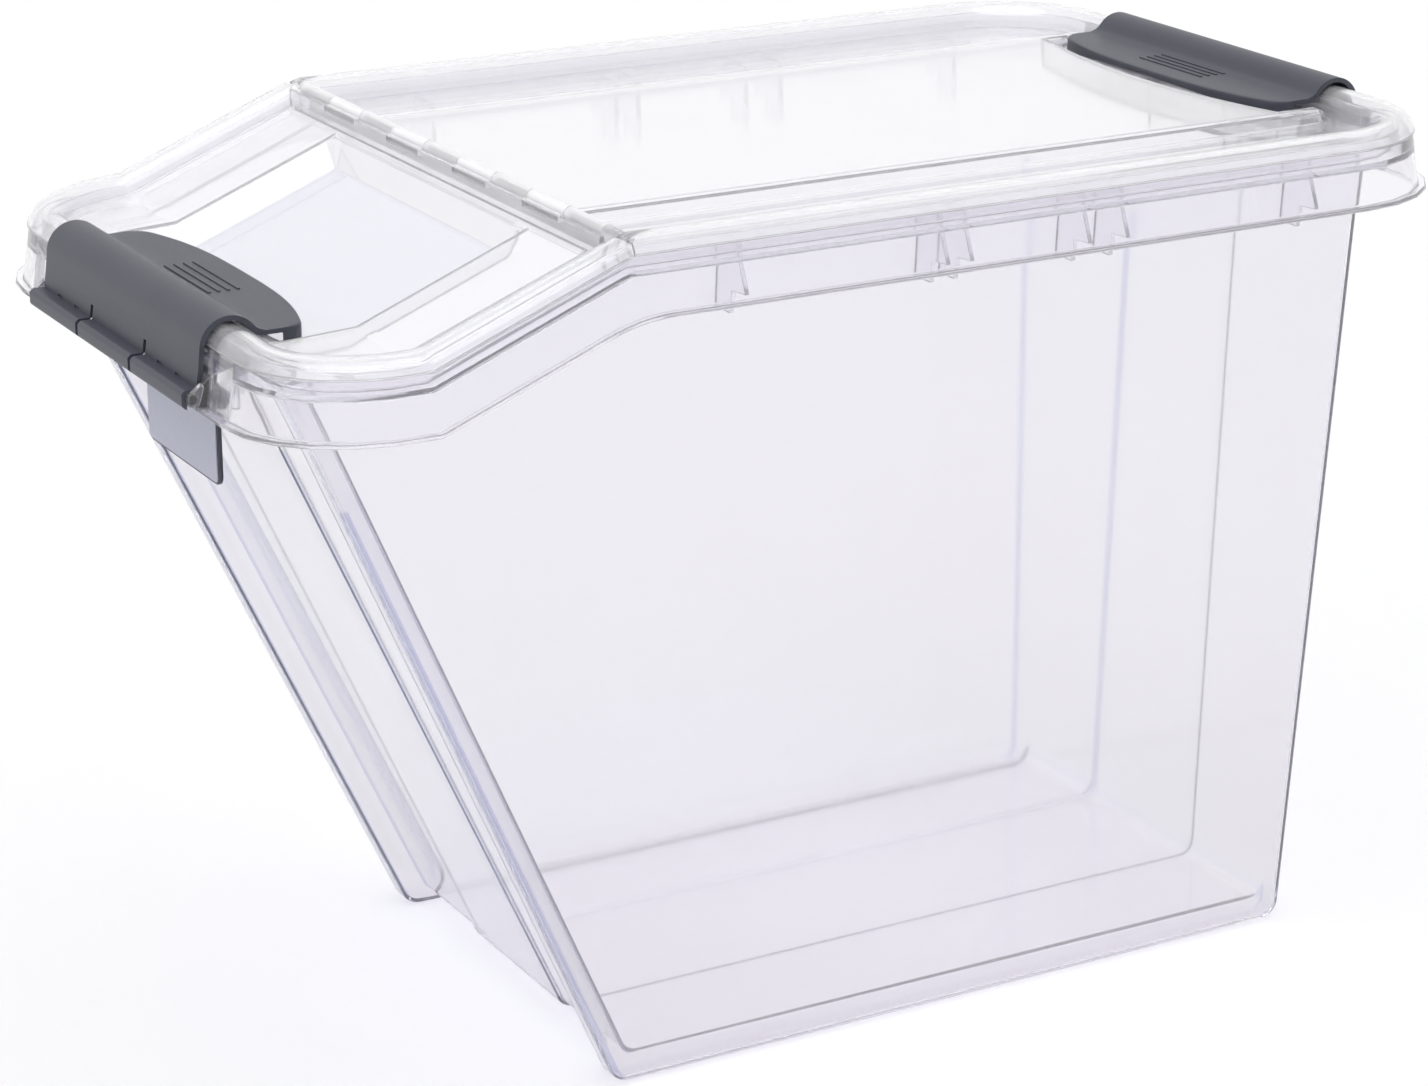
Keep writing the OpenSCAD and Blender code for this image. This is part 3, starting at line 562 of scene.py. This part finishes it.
def bead(way, length, bends=()):
    """The bead round one half of the lid, from the fold on one side to the fold on the other."""
    stations = []
    for side in (1, -1):
        run = [(side, "side", v) for v in (0, BEAD_START, *bends, length - CORNER_R)]
        run += [(side, "corner", pi / 2 * k / BEAD_STEPS) for k in range(1, BEAD_STEPS + 1)]
        stations += run if side > 0 else run[::-1]
    grids = []
    for line in bead_lines():
        rows = []
        for side, kind, value in stations:
            row = []
            for u, w in line:
                if kind == "side":
                    x, v = HALF_W + u, value or FOLD_CUT + max(0.0, w + FOLD_DROP) * FOLD_SLANT
                else:
                    r = CORNER_R + u
                    x, v = HALF_W - CORNER_R + r * cos(value), length - CORNER_R + r * sin(value)
                y = FOLD_Y + way * v
                row.append(Vector((side * x, y, crest_at(y) + w)))
            rows.append(row)
        grids.append(rows)
    return add_shell(*grids)


def plate(way, length, columns, rows, height):
    """The sheet inside the bead. Columns and rows each give a top and an underside place and a share of a step."""
    end = length - BEAD_R + LID_T / 2
    grids = []
    for sheet in (0, 1):
        grid = []
        for row in rows:
            line = []
            for column in columns:
                x, v = column[sheet], row[sheet]
                v = v(x) if callable(v) else v
                over = max(0.0, v - (length - CORNER_R))
                r = CORNER_R - BEAD_R + LID_T / 2
                reach = HALF_W - CORNER_R + sqrt(max(0.0, r * r - over * over))
                if abs(x) > OUTER_X:
                    x = (OUTER_X + (reach - OUTER_X) * (abs(x) - OUTER_X)) * (1 if x > 0 else -1)
                y = FOLD_Y + way * min(v, end)
                line.append(Vector((x, y, height(y, column[2], row[2]) - (LID_T if sheet else 0.0))))
            grid.append(line)
        grids.append(grid)
    return add_shell(*grids)


def mirrored(half):
    """Columns on both sides of x = 0 from those on +X, ordered from -X to +X."""
    return [(-a, -b, share) for a, b, share in reversed(half[1:])] + half


def fold_wall(way):
    """Upright edge along the fold, from bead to bead."""
    low = CREST_H - LID_DROP - (SLOPE * FOLD_WALL if way < 0 else 0.0)
    outline = oblong((FOLD_WALL, FOLD_WALL + LID_T), (low, FOLD_Z))
    half = HALF_W - BEAD_R + LID_T / 2
    return prism(outline, -half, half, lambda v, z, x: Vector((x, FOLD_Y + way * v, z)), 0.5)


def along_fold(y, z, x):
    """Place of a part that is drawn as a section across the fold."""
    return Vector((x, y, z))


def pocket_edge(shift):
    """The bowed front edge of the finger pocket, as a function of x."""
    def edge(x):
        return POCKET_FRONT + shift + POCKET_R - sqrt(POCKET_R ** 2 - min(abs(x), POCKET_HALF) ** 2)
    return edge


# Columns give (top x, underside x, (in the pocket, on the plateau)), and rows give (top v, underside v,
# (past the pocket's edge, before its end wall, before the plateau's end)), with v measured from the fold.
outer_columns = [(OUTER_X + t, OUTER_X + t, (0.0, 0.0)) for t in (0.2, 0.5, 0.8, 1.0)]
half = [(x, x, (1.0, 1.0)) for x in (0, 15, 30, 45, 60, 75)]
half += [(POCKET_HALF + d, POCKET_HALF + LID_T + d, (1 - share, 1.0)) for d, share in ROUND]
half += [(PLATEAU_HALF + PLATEAU_DRAFT * d, PLATEAU_HALF - LID_T + PLATEAU_DRAFT * d, (0.0, 1 - share))
         for d, share in ROUND]
half += [(OUTER_X, OUTER_X, (0.0, 0.0))] + outer_columns
rows = [(v, v, (0.0, 1.0, 1.0)) for v in (5, 40, 90, 140, 190, 240, 290, 322)]
rows += [(pocket_edge(d), pocket_edge(d - LID_T), (share, 1.0, 1.0)) for d, share in ROUND]
rows += [(350, 350, (1.0, 1.0, 1.0))]
rows += [(POCKET_END + d, POCKET_END + LID_T + d, (1.0, 1 - share, 1.0)) for d, share in ROUND]
rows += [(PLATEAU_END + END_DRAFT * d, PLATEAU_END - LID_T + END_DRAFT * d + END_LAG, (1.0, 0.0, 1 - share))
         for d, share in ROUND]
rows += [(v, v, (1.0, 0.0, 0.0)) for v in (368, 370, 371.5, 372)]


def rear_height(y, across, along):
    """Height of the flat half: its channel, the plateau above it and the pocket below it."""
    (in_pocket, on_plateau), (past_edge, before_wall, before_end) = across, along
    channel = CREST_H - CHANNEL
    field = channel + PLATEAU_H * on_plateau * before_end
    pocket = channel - (POCKET_DROP - CHANNEL) * before_wall
    return field + (pocket - field) * in_pocket * past_edge


cloudy_pp = clear_polypropylene("cloudy_moulded_polypropylene", "#FEFEFF", 0.87)
milky_pp = clear_polypropylene("milky_moulded_polypropylene", "#FEFEFF", 0.4)
KNUCKLE_L = FOLD_L / KNUCKLES - KNUCKLE_GAP
ARM_END = FOLD_WALL + LID_T / 2
lid_arm = oblong((0, ARM_END), (-KNUCKLE_R, 0))
lid_knuckle = moulded([
    prism(circle(KNUCKLE_R), -KNUCKLE_L / 2, KNUCKLE_L / 2, along_fold, 0.25),
    prism(lid_arm, -KNUCKLE_L / 2, KNUCKLE_L / 2, along_fold),
])
fold_places = [((k + 0.5) * FOLD_L / KNUCKLES - FOLD_L / 2, FOLD_Y, FOLD_Z) for k in range(KNUCKLES)]
fold_rod = prism(circle(FOLD_ROD_R, 20, (FOLD_Y, FOLD_Z)), -FOLD_L / 2, FOLD_L / 2, along_fold)
rear_lid = new_piece("rear_lid_shell", moulded([
    bead(1, REAR_L), plate(1, REAR_L, mirrored(half), rows, rear_height), fold_wall(1),
    repeated(lid_knuckle, fold_places[::2], 0, cloudy_pp), fold_rod,
]), cloudy_pp)


def milky_knuckles(piece):
    """Gives the fold's knuckles the milky look that this plastic has where it is thick."""
    piece.data.materials.append(milky_pp)
    for face in piece.data.polygons:
        near_rod = abs(face.center.y - FOLD_Y * MM) < FOLD_WALL * MM
        face.material_index = 1 if near_rod and abs(face.center.x) < FOLD_L / 2 * MM + MM else 0


milky_knuckles(rear_lid)
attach(rear_lid, "lid")
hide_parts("rear_lid")

# Front flap: the half of the lid that slopes down from the fold and bends to a nearly level shelf under the front
# clip, with the same bead, a sunk tray, and hooks that snap on the fold's rod. Clear polypropylene, moulded in one
# piece; it turns up about the fold to open the slanted front of the bin.
FRONT_L = FOLD_Y - FRONT_Y
LEDGE_DROP, TRAY_DROP = 7.2, 18.0
TRAY_HALF, TRAY_FOOT, TRAY_REAR, TRAY_FRONT = 89.0, 80.0, 9.0, 111.5
TRAY_LAG, HOOK_PLAY, ARM_ROOT = 1.0, 0.08, FOLD_ROD_R + 0.5
half = [(x, x, 1.0) for x in (0, 20, 40, 60)]
half += [(TRAY_FOOT + d, TRAY_FOOT + d + TRAY_LAG, share) for d, share in ((-0.8, 1.0), (0.4, 0.97))]
half += [(TRAY_HALF + d, TRAY_HALF + d + TRAY_LAG, share) for d, share in ((-0.6, 0.04), (0.6, 0.0))]
half += [(OUTER_X, OUTER_X, 0.0)] + [(x, b, 0.0) for x, b, _ in outer_columns]
rows = [(v, v, 0.0) for v in (5, 7)]
rows += [(TRAY_REAR + d, TRAY_REAR + d - TRAY_LAG, share)
         for d, share in ((-0.6, 0.0), (0.5, 0.05), (4.0, 0.96), (5.2, 1.0))]
rows += [(v, v, 1.0) for v in (30, 55, 78, FOLD_Y - BEND_Y, 83, 95)]
rows += [(TRAY_FRONT + d, TRAY_FRONT + d + TRAY_LAG, share)
         for d, share in ((-6.2, 1.0), (-5.0, 0.96), (-0.5, 0.05), (0.6, 0.0))]
rows += [(v, v, 0.0) for v in (114.5, 116, 118.5, 120)]


def flap_height(y, across, along):
    """Height of the flap: a ledge inside the bead, and the tray sunk in it."""
    return crest_at(y) - LEDGE_DROP - (TRAY_DROP - LEDGE_DROP) * across * along


def hook_outline(r, bore, mouth):
    """Section of a hook round a rod, open below."""
    gap, inner_gap = mouth / r, mouth / bore
    outer = [-pi / 2 + gap + (2 * pi - 2 * gap) * k / 28 for k in range(29)]
    inner = [-pi / 2 + inner_gap + (2 * pi - 2 * inner_gap) * k / 20 for k in range(21)]
    return [(r * cos(a), r * sin(a)) for a in outer] + [(bore * cos(a), bore * sin(a)) for a in reversed(inner)]


fold_hook = hook_outline(KNUCKLE_R, FOLD_ROD_R + HOOK_PLAY, FOLD_ROD_R / 2)
flap_knuckle = moulded([
    prism(fold_hook, -KNUCKLE_L / 2, KNUCKLE_L / 2, along_fold),
    prism(oblong((-ARM_ROOT, -ARM_END), (-KNUCKLE_R, 0)), -KNUCKLE_L / 2, KNUCKLE_L / 2, along_fold),
])
front_flap = new_piece("front_flap_shell", moulded([
    bead(-1, FRONT_L, [FOLD_Y - BEND_Y]), plate(-1, FRONT_L, mirrored(half), rows, flap_height), fold_wall(-1),
    repeated(flap_knuckle, fold_places[1::2], 0, cloudy_pp),
]), cloudy_pp)


def tray_painted_shade(face):
    """A little painted shade in the floor of the sunk tray."""
    below = crest_at(face.center.y / MM) - face.center.z / MM
    return 0.25 if below > TRAY_DROP - 2 else 0.0


milky_knuckles(front_flap)
# Painted shade in the floor of the tray.
paint_shade_on_faces(front_flap, tray_painted_shade)
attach(front_flap, "flap")
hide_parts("front_flap")

# Clips: two alike grey shells that snap over the bead, each with a D-shaped finger tab and a row of hooks on a rod
# of the tub. Moulded from dyed polypropylene, with a satin skin; they turn about the rod.
CLIP_HALF, CLIP_T, ARCH_R, ARCH_TURN = 80.5, 2.0, 12.1, radians(138)
LEG_FOOT_OUT, LEG_FOOT_DOWN, LEG_KNEE = 14.0, 23.0, 15.0
TAB_TOP, TAB_T, TAB_ROOT = -4.0, 1.8, -14.6
TAB_END, TAB_BULGE, TAB_CORNER_R = 29.0, 11.0, 6.0
LIP_END, LIP_MID, LIP_LEAST = 7.0, 2.4, 0.6
HOOK_R, HOOK_FLAT, HOOK_BORE, BAR_HALF = 4.2, 3.6, 0.1, 81.0
SLIT_W, SLIT_TOP, SLIT_LOW = 2.6, -17.0, -60.0
DASH_X, DASH_L, DASH_UP = (44.0, 62.0), 5.0, (-22.3, -21.3)
GRIP_L, GRIP_PITCH, GRIP_W, GRIP_H, GRIP_ROOT, GRIPS = 46.0, 4.0, 1.2, 0.5, 0.6, 4
GRAIN_L, GRAIN_H = 0.9, 0.05  # a real mould's grain is about 0.1 mm, and is drawn coarser so that it shows
FLOW_L = 30.0


def grey_polypropylene():
    """Dyed moulded polypropylene: satin, with the fine spark-eroded grain of the mould and faint flow marks."""
    material = bpy.data.materials.new("grey_moulded_polypropylene")
    material.use_nodes = True
    tree = material.node_tree
    tree.nodes.clear()
    place = add_node(tree, "ShaderNodeTexCoord")
    grain = add_node(tree, "ShaderNodeTexNoise", {"Scale": 1 / (GRAIN_L * MM), "Detail": 3.0},
                     Vector=place.outputs["Object"])
    flow = add_node(tree, "ShaderNodeTexNoise", {"Scale": 1 / (FLOW_L * MM), "Detail": 2.0},
                    Vector=place.outputs["Object"])
    tone = add_node(tree, "ShaderNodeValToRGB", Fac=flow.outputs["Fac"])
    tone.color_ramp.elements[0].color = rgb("#3A3C47")
    tone.color_ramp.elements[1].color = rgb("#444651")
    gloss = add_node(tree, "ShaderNodeMapRange", {"To Min": 0.36, "To Max": 0.5}, Value=grain.outputs["Fac"])
    bump = add_node(tree, "ShaderNodeBump", {"Strength": 0.25, "Distance": GRAIN_H * MM},
                    Height=grain.outputs["Fac"])
    skin = add_node(tree, "ShaderNodeBsdfPrincipled", {"IOR": 1.49}, Base_Color=tone.outputs["Color"],
                    Roughness=gloss.outputs["Result"], Normal=bump.outputs["Normal"])
    add_node(tree, "ShaderNodeOutputMaterial", Surface=skin.outputs["BSDF"])
    return material


grey_pp = grey_polypropylene()


def tab_reach(x):
    """How far the D-shaped tab reaches in from the crest."""
    reach = TAB_END + TAB_BULGE * (1 - (abs(x) / CLIP_HALF) ** 3)
    past = max(0.0, abs(x) - CLIP_HALF + TAB_CORNER_R)
    return reach - TAB_CORNER_R + sqrt(max(0.0, TAB_CORNER_R ** 2 - past ** 2))


def clip_lines(x):
    """Matched outer and inner lines of the clip at one x: leg, arch, the cheek inside it, tab and the tab's lip."""
    share = abs(x) / CLIP_HALF
    lip = LIP_MID + (LIP_END - LIP_MID) * share ** 2
    edge = tab_reach(x)
    lines = []
    for t in (0.0, 1.0):
        r = ARCH_R - CLIP_T * t
        line = [(LEG_FOOT_OUT - CLIP_T * t, -LEG_FOOT_DOWN), (r + (LEG_FOOT_OUT - ARCH_R) * 0.4, -LEG_KNEE)]
        line += [(r * cos(a), r * sin(a) - BEAD_R) for a in [ARCH_TURN * k / 14 for k in range(15)]]
        drop = TAB_TOP - TAB_T * t
        line += [(-10.6 + 1.5 * t, -2.2 - 1.5 * t), (-12.0 + 1.3 * t, drop + 0.9 - 0.4 * t), (TAB_ROOT + t, drop)]
        reach = edge - TAB_T * t
        line += [(TAB_ROOT + (-reach + 1.2 - TAB_ROOT) * k / 5, drop) for k in range(1, 6)]
        line += [(-reach + 0.35, drop - 0.3 * (1 - t)), (-reach, drop - 1.0 * (1 - t) - 0.3 * t)]
        line += [(-reach, TAB_TOP - max(lip, TAB_T + LIP_LEAST))]
        lines.append(line)
    return lines


def clip_shell(place):
    """The bent shell of a clip, with the round corners of its tab."""
    xs = [k * (CLIP_HALF - TAB_CORNER_R) / 12 for k in range(12)]
    xs += [CLIP_HALF - TAB_CORNER_R + TAB_CORNER_R * sin(pi / 2 * k / 6) for k in range(7)]
    xs = [-x for x in reversed(xs[1:])] + xs
    grids = [[[place(o, w, x) for o, w in clip_lines(x)[t]] for x in xs] for t in (0, 1)]
    return add_shell(*grids)


def hook_bar(place):
    """The row of hooks: a bar with a flat face and a bore for the rod, open below."""
    outline = []
    for o, w in hook_outline(HOOK_R, ROD_R + HOOK_BORE, ROD_R * 0.8):
        outline.append((ROD_OUT + min(o, HOOK_FLAT), min(w, HOOK_FLAT) - ROD_DOWN))
    return prism(outline, -BAR_HALF, BAR_HALF, place)


bridge = [(LEG_FOOT_OUT - CLIP_T, -LEG_FOOT_DOWN + 0.5), (LEG_FOOT_OUT, -LEG_FOOT_DOWN + 0.5),
          (ROD_OUT, -ROD_DOWN + 3), (ROD_OUT - 3, -ROD_DOWN)]
slit = oblong((5, 40), (SLIT_LOW, SLIT_TOP))
dash = oblong((LEG_FOOT_OUT - 0.6, LEG_FOOT_OUT + 1.6), DASH_UP)
grip_line = oblong((-GRIP_W / 2, GRIP_W / 2), (-GRIP_ROOT, GRIP_H))
grip_mid = (TAB_ROOT - TAB_END) / 2
for name, place in (("front_clip", at_front), ("rear_clip", at_rear)):
    grip = prism(grip_line, -GRIP_L / 2, GRIP_L / 2, along_fold, 0.2)
    spots = [place(grip_mid + (k - (GRIPS - 1) / 2) * GRIP_PITCH, TAB_TOP, 0) for k in range(GRIPS)]
    holes = [prism(slit, x - SLIT_W / 2, x + SLIT_W / 2, place) for x in (-RIB_HALF, RIB_HALF)]
    holes += [prism(dash, side * x - DASH_L / 2, side * x + DASH_L / 2, place) for x in DASH_X for side in (-1, 1)]
    body = moulded([clip_shell(place), hook_bar(place), prism(bridge, -CLIP_HALF, CLIP_HALF, place),
                    repeated(grip, spots, 0, grey_pp)], holes)
    clip = new_piece(name + "_shell", body, grey_pp)
    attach(clip, name)
    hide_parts(name)

# Label: a grey plate that hangs by two hooks on a bar of the tub, and a pale blank card on its face.
# The plate is moulded from the same dyed polypropylene as the clips, and the card is satin film, stuck on.
LABEL_HALF, LABEL_T, LABEL_H, LABEL_IN, LABEL_TOP = 36.5, 1.8, 42.0, 12.9, -35.4
LABEL_CORNER_R, CARD_MARGIN, CARD_T, CARD_CORNER_R = 4.0, 1.2, 0.6, 2.0
LABEL_HOOK_W, LABEL_HOOK_X, LABEL_GAP = 12.0, 13.0, 0.4
FIBRE_L = 2.0  # fibres of paper behind the film, drawn as coarse as they need to show


def pale_film():
    """Pale film on the label: even grey with a faint fibre, slightly glossy."""
    material = bpy.data.materials.new("pale_label_film")
    material.use_nodes = True
    tree = material.node_tree
    tree.nodes.clear()
    place = add_node(tree, "ShaderNodeTexCoord")
    fibre = add_node(tree, "ShaderNodeTexNoise", {"Scale": 1 / (FIBRE_L * MM), "Detail": 4.0},
                     Vector=place.outputs["Object"])
    tone = add_node(tree, "ShaderNodeValToRGB", Fac=fibre.outputs["Fac"])
    tone.color_ramp.elements[0].color = rgb("#B3B5C8")
    tone.color_ramp.elements[1].color = rgb("#BDBFD0")
    skin = add_node(tree, "ShaderNodeBsdfPrincipled", {"Roughness": 0.42, "IOR": 1.5},
                    Base_Color=tone.outputs["Color"])
    add_node(tree, "ShaderNodeOutputMaterial", Surface=skin.outputs["BSDF"])
    return material


card_film = pale_film()


def round_rectangle(half, low, high, r):
    """Outline of a plate with round corners."""
    centres = ((half - r, high - r, 0), (r - half, high - r, 1), (r - half, low + r, 2), (half - r, low + r, 3))
    turns = [(x, z, pi / 2 * (q + k / 5)) for x, z, q in centres for k in range(6)]
    return [(x + r * cos(a), z + r * sin(a)) for x, z, a in turns]


def behind_front(out, up, x):
    """Place measured from the back of the label plate."""
    return at_front(out - LABEL_IN, up, x)


def on_label(x, up, out):
    return behind_front(out, up, x)


plate_line = round_rectangle(LABEL_HALF, LABEL_TOP - LABEL_H, LABEL_TOP, LABEL_CORNER_R)
hook_in, hook_up = LABEL_T + 2 * LABEL_GAP + BAR_SIDE, -BAR_DROP + LABEL_GAP
hook_line = [
    (0, LABEL_TOP - 1), (LABEL_T, LABEL_TOP - 1), (LABEL_T, hook_up), (hook_in, hook_up),
    (hook_in, -BAR_DROP - BAR_SIDE), (hook_in + LABEL_T, -BAR_DROP - BAR_SIDE),
    (hook_in + LABEL_T, hook_up + LABEL_T), (0, hook_up + LABEL_T),
]
label_parts = [prism(plate_line, 0, LABEL_T, on_label, 0.35)]
for x in (-LABEL_HOOK_X, LABEL_HOOK_X):
    label_parts.append(prism(hook_line, x - LABEL_HOOK_W / 2, x + LABEL_HOOK_W / 2, behind_front, 0.3))
label = new_piece("label_plate_body", moulded(label_parts), grey_pp)
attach(label, "tub")
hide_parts("label_plate")

card_line = round_rectangle(LABEL_HALF - CARD_MARGIN, LABEL_TOP - LABEL_H + CARD_MARGIN, LABEL_TOP - CARD_MARGIN,
                            CARD_CORNER_R)
card = new_piece("label_card_face", prism(card_line, LABEL_T, LABEL_T + CARD_T, on_label, 0.15), card_film)
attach(card, "tub")
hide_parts("label_card")

# Set: a white floor under a white surround, one broad lamp overhead and the camera at the photograph's view.
# The surround shows as plain white to the camera and through the plastic, and lights the bin at half of that.
FLOOR_SIDE, FLOOR_SINK = 60.0, 0.0005  # in metres
SURROUND_LIGHT, SURROUND_SEEN = 0.5, 1.0
LAMP_SPREAD, LAMP_POWER, LAMP_TURN = radians(70), 1.7, (radians(14), radians(16), 0)
FOCAL_PX, PHOTO_W_PX, SENSOR_W = 3860, 1428, 36
CAMERA_AT, CAMERA_DOWN, CAMERA_TURN = (1.3576, -0.766, 0.726), 19.2, 60.7
BOUNCES = 24  # a ray to the far wall crosses many faces of clear plastic
scene = bpy.context.scene
scene.view_settings.view_transform = "Standard"
scene.cycles.max_bounces = BOUNCES
scene.cycles.transmission_bounces = BOUNCES
scene.cycles.transparent_max_bounces = BOUNCES
world = bpy.data.worlds.new("white_surround")
scene.world = world
world.use_nodes = True
tree = world.node_tree
tree.nodes.clear()
path = add_node(tree, "ShaderNodeLightPath")
seen = path.outputs["Is Camera Ray"]
for kind in ("Is Glossy Ray", "Is Transmission Ray"):
    either = add_node(tree, "ShaderNodeMath", {"operation": "MAXIMUM"})
    tree.links.new(seen, either.inputs[0])
    tree.links.new(path.outputs[kind], either.inputs[1])
    seen = either.outputs[0]
strength = add_node(tree, "ShaderNodeMapRange", {"To Min": SURROUND_LIGHT, "To Max": SURROUND_SEEN}, Value=seen)
glow = add_node(tree, "ShaderNodeBackground", {"Color": rgb("#FFFFFF")}, Strength=strength.outputs["Result"])
add_node(tree, "ShaderNodeOutputWorld", Surface=glow.outputs["Background"])

key = bpy.data.lights.new("overhead_softbox", "SUN")
key.angle = LAMP_SPREAD
key.energy = LAMP_POWER
lamp = bpy.data.objects.new("overhead_softbox", key)
lamp.rotation_euler = LAMP_TURN
scene.collection.objects.link(lamp)

floor_mesh = bmesh.new()
bmesh.ops.create_grid(floor_mesh, x_segments=2, y_segments=2, size=FLOOR_SIDE / 2)
mesh = bpy.data.meshes.new("studio_floor")
floor_mesh.to_mesh(mesh)
floor_mesh.free()
floor = bpy.data.objects.new("studio_floor", mesh)
floor.location.z = -FLOOR_SINK
scene.collection.objects.link(floor)
white = bpy.data.materials.new("white_sweep")
white.use_nodes = True
tree = white.node_tree
tree.nodes.clear()
matt = add_node(tree, "ShaderNodeBsdfDiffuse", {"Color": rgb("#FFFFFF")})
add_node(tree, "ShaderNodeOutputMaterial", Surface=matt.outputs["BSDF"])
mesh.materials.append(white)

camera_data = bpy.data.cameras.new("camera")
camera_data.sensor_width = SENSOR_W
camera_data.lens = FOCAL_PX / PHOTO_W_PX * SENSOR_W
camera_data.clip_start = 0.01
camera = bpy.data.objects.new("camera", camera_data)
camera.location = CAMERA_AT
camera.rotation_euler = (radians(90 - CAMERA_DOWN), 0, radians(CAMERA_TURN))
scene.collection.objects.link(camera)
scene.camera = camera
